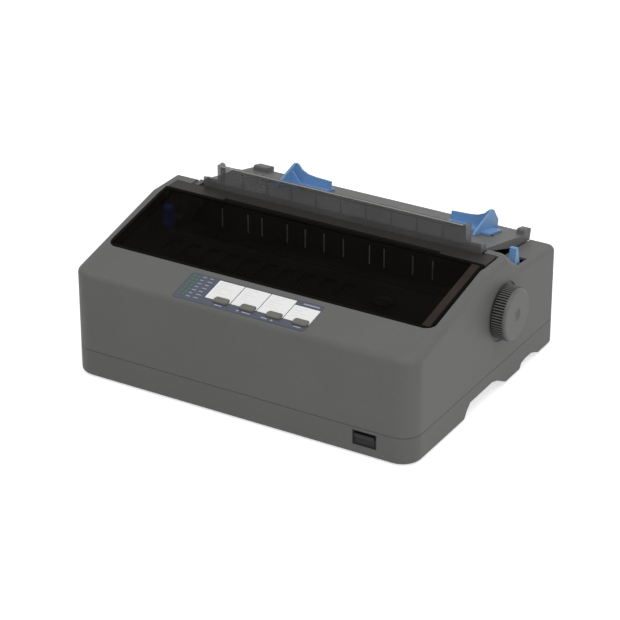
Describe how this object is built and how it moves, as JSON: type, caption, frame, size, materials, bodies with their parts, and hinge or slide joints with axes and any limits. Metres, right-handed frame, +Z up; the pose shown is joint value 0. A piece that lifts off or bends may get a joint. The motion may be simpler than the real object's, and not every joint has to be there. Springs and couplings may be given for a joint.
{
  "type": "dot matrix printer",
  "caption": "Desktop impact printer with a sloping deck, smoked hinged cover, upright plate, rear sheet guide with edge guides, feed knob, control panel and tractor feed.",
  "frame": {"origin": "on the desk, midway across the overall width with the knob and midway along the depth; this is also the middle of the paper path", "axes": "+X to the printer's right seen from the front, +Y to its back, +Z up"},
  "size_m": [0.362, 0.2757, 0.154],
  "materials": {
    "case_grey": "fine moulded texture",
    "smoke_window": "gloss",
    "clear_grey": "satin",
    "blue_plastic": "satin",
    "panel_slate": "printed film",
    "button_grey": "satin",
    "green_lens": "gloss",
    "black_plastic": "satin",
    "rubber": "matt",
    "sheet_steel": "zinc plated",
    "bright_steel": "ground",
    "ivory_plastic": "satin",
    "brass": "machined",
    "motor_black": "satin",
    "head_metal": "black anodised",
    "circuit_board": "solder mask"
  },
  "bodies": {
    "printer_body": {"lower_case": "case_grey", "upper_case": "case_grey", "rubber_feet": "rubber", "case_screws": "sheet_steel", "control_panel": "panel_slate", "indicator_leds": "green_lens", "panel_board": "circuit_board", "switch_housing": "black_plastic", "main_board": "circuit_board", "power_supply": "circuit_board", "ac_inlet": "black_plastic", "interface_ports": "sheet_steel", "left_side_frame": "sheet_steel", "right_side_frame": "sheet_steel", "front_rail": "sheet_steel", "guide_shaft": "bright_steel", "platen_bushes": "ivory_plastic", "carriage_motor": "motor_black", "timing_belt": "black_plastic", "ribbon_cartridge": "black_plastic", "ink_ribbon": "black_plastic", "feed_motor": "motor_black", "paper_guide": "black_plastic", "exit_guide": "black_plastic", "tractor_rod": "bright_steel"},
    "button_1": {"button_1": "button_grey"},
    "button_2": {"button_2": "button_grey"},
    "button_3": {"button_3": "button_grey"},
    "button_4": {"button_4": "button_grey"},
    "power_rocker": {"power_rocker": "black_plastic"},
    "cover": {"cover_window": "smoke_window", "cover_upright": "clear_grey"},
    "sheet_guide": {"sheet_guide": "case_grey"},
    "edge_guide_left": {"edge_guide_left": "blue_plastic"},
    "edge_guide_right": {"edge_guide_right": "blue_plastic"},
    "release_lever": {"release_lever": "blue_plastic"},
    "thickness_lever": {"thickness_lever": "blue_plastic"},
    "platen": {"platen_shaft": "bright_steel", "platen_roller": "rubber", "platen_gear": "ivory_plastic", "feed_knob": "case_grey"},
    "feed_pinion": {"feed_pinion": "brass"},
    "idler_gear": {"idler_gear": "ivory_plastic"},
    "tractor_shaft": {"tractor_shaft": "bright_steel", "tractor_gear": "ivory_plastic"},
    "tractor_left": {"tractor_left": "black_plastic"},
    "tractor_right": {"tractor_right": "black_plastic"},
    "sprocket_left": {"sprocket_left": "ivory_plastic"},
    "sprocket_right": {"sprocket_right": "ivory_plastic"},
    "tractor_flap_left": {"tractor_flap_left": "black_plastic"},
    "tractor_flap_right": {"tractor_flap_right": "black_plastic"},
    "carriage": {"carriage": "black_plastic", "print_head": "head_metal"},
    "motor_pulley": {"motor_pulley": "ivory_plastic"},
    "belt_idler": {"belt_idler": "ivory_plastic"},
    "ribbon_knob": {"ribbon_knob": "black_plastic"}
  },
  "joints": [
    {"name": "cover_hinge", "type": "hinge", "parent": "printer_body", "child": "cover", "pos_m": [0, 0.04, 0.124], "axis": [-1, 0, 0], "range_deg": [0, 60]},
    {"name": "sheet_guide_hinge", "type": "hinge", "parent": "printer_body", "child": "sheet_guide", "pos_m": [0, 0.048, 0.1225], "axis": [1, 0, 0], "range_deg": [0, 45]},
    {"name": "edge_guide_left_slide", "type": "slide", "parent": "sheet_guide", "child": "edge_guide_left", "axis": [1, 0, 0], "range_m": [-0.002, 0.06]},
    {"name": "edge_guide_right_slide", "type": "slide", "parent": "sheet_guide", "child": "edge_guide_right", "axis": [1, 0, 0], "range_m": [-0.06, 0.002]},
    {"name": "release_lever_hinge", "type": "hinge", "parent": "printer_body", "child": "release_lever", "pos_m": [0.1565, 0.07, 0.084], "axis": [1, 0, 0], "range_deg": [-16, 0]},
    {"name": "thickness_lever_hinge", "type": "hinge", "parent": "printer_body", "child": "thickness_lever", "pos_m": [-0.159, -0.01, 0.092], "axis": [1, 0, 0], "range_deg": [-4, 22]},
    {"name": "platen_turn", "type": "hinge", "parent": "printer_body", "child": "platen", "pos_m": [0, 0.0285, 0.079], "axis": [1, 0, 0], "continuous": true},
    {"name": "feed_pinion_turn", "type": "hinge", "parent": "printer_body", "child": "feed_pinion", "pos_m": [-0.134, 0.014, 0.05389], "axis": [1, 0, 0], "continuous": true},
    {"name": "idler_gear_turn", "type": "hinge", "parent": "printer_body", "child": "idler_gear", "pos_m": [-0.134, 0.06224, 0.06969], "axis": [1, 0, 0], "continuous": true},
    {"name": "tractor_shaft_turn", "type": "hinge", "parent": "printer_body", "child": "tractor_shaft", "pos_m": [0, 0.095, 0.082], "axis": [1, 0, 0], "continuous": true},
    {"name": "tractor_left_slide", "type": "slide", "parent": "printer_body", "child": "tractor_left", "axis": [1, 0, 0], "range_m": [-0.006, 0.06]},
    {"name": "tractor_right_slide", "type": "slide", "parent": "printer_body", "child": "tractor_right", "axis": [1, 0, 0], "range_m": [-0.06, 0.006]},
    {"name": "sprocket_left_turn", "type": "hinge", "parent": "tractor_left", "child": "sprocket_left", "pos_m": [-0.106, 0.095, 0.082], "axis": [1, 0, 0], "continuous": true},
    {"name": "sprocket_right_turn", "type": "hinge", "parent": "tractor_right", "child": "sprocket_right", "pos_m": [0.106, 0.095, 0.082], "axis": [1, 0, 0], "continuous": true},
    {"name": "tractor_flap_left_hinge", "type": "hinge", "parent": "tractor_left", "child": "tractor_flap_left", "pos_m": [-0.1166, 0.092, 0.094], "axis": [0, 1, 0], "range_deg": [-85, 0]},
    {"name": "tractor_flap_right_hinge", "type": "hinge", "parent": "tractor_right", "child": "tractor_flap_right", "pos_m": [0.1166, 0.092, 0.094], "axis": [0, 1, 0], "range_deg": [0, 85]},
    {"name": "carriage_slide", "type": "slide", "parent": "printer_body", "child": "carriage", "axis": [1, 0, 0], "range_m": [0, 0.176]},
    {"name": "motor_pulley_turn", "type": "hinge", "parent": "printer_body", "child": "motor_pulley", "pos_m": [-0.12, -0.04, 0.05], "axis": [0, 0, 1], "continuous": true},
    {"name": "belt_idler_turn", "type": "hinge", "parent": "printer_body", "child": "belt_idler", "pos_m": [0.12, -0.04, 0.05], "axis": [0, 0, 1], "continuous": true},
    {"name": "ribbon_knob_turn", "type": "hinge", "parent": "printer_body", "child": "ribbon_knob", "pos_m": [0.096, -0.062, 0.106], "axis": [0, 0, 1], "continuous": true},
    {"name": "power_rocker_hinge", "type": "hinge", "parent": "printer_body", "child": "power_rocker", "pos_m": [0.12125, -0.1325, 0.01715], "axis": [1, 0, 0], "range_deg": [-18, 0]},
    {"name": "button_1_press", "type": "slide", "parent": "printer_body", "child": "button_1", "axis": [0, 0.2036, -0.979], "range_m": [0, 0.0008], "stiffness_N_per_m": 400},
    {"name": "button_2_press", "type": "slide", "parent": "printer_body", "child": "button_2", "axis": [0, 0.2036, -0.979], "range_m": [0, 0.0008], "stiffness_N_per_m": 400},
    {"name": "button_3_press", "type": "slide", "parent": "printer_body", "child": "button_3", "axis": [0, 0.2036, -0.979], "range_m": [0, 0.0008], "stiffness_N_per_m": 400},
    {"name": "button_4_press", "type": "slide", "parent": "printer_body", "child": "button_4", "axis": [0, 0.2036, -0.979], "range_m": [0, 0.0008], "stiffness_N_per_m": 400}
  ],
  "couplings": [
    {"joint": "feed_pinion_turn", "follows": "platen_turn", "ratio": -2.2222},
    {"joint": "idler_gear_turn", "follows": "platen_turn", "ratio": -1.3333},
    {"joint": "tractor_shaft_turn", "follows": "platen_turn", "ratio": 1},
    {"joint": "sprocket_left_turn", "follows": "platen_turn", "ratio": 1},
    {"joint": "sprocket_right_turn", "follows": "platen_turn", "ratio": 1},
    {"joint": "motor_pulley_turn", "follows": "carriage_slide", "rad_per_m": -166.67},
    {"joint": "belt_idler_turn", "follows": "carriage_slide", "rad_per_m": -166.67}
  ]
}
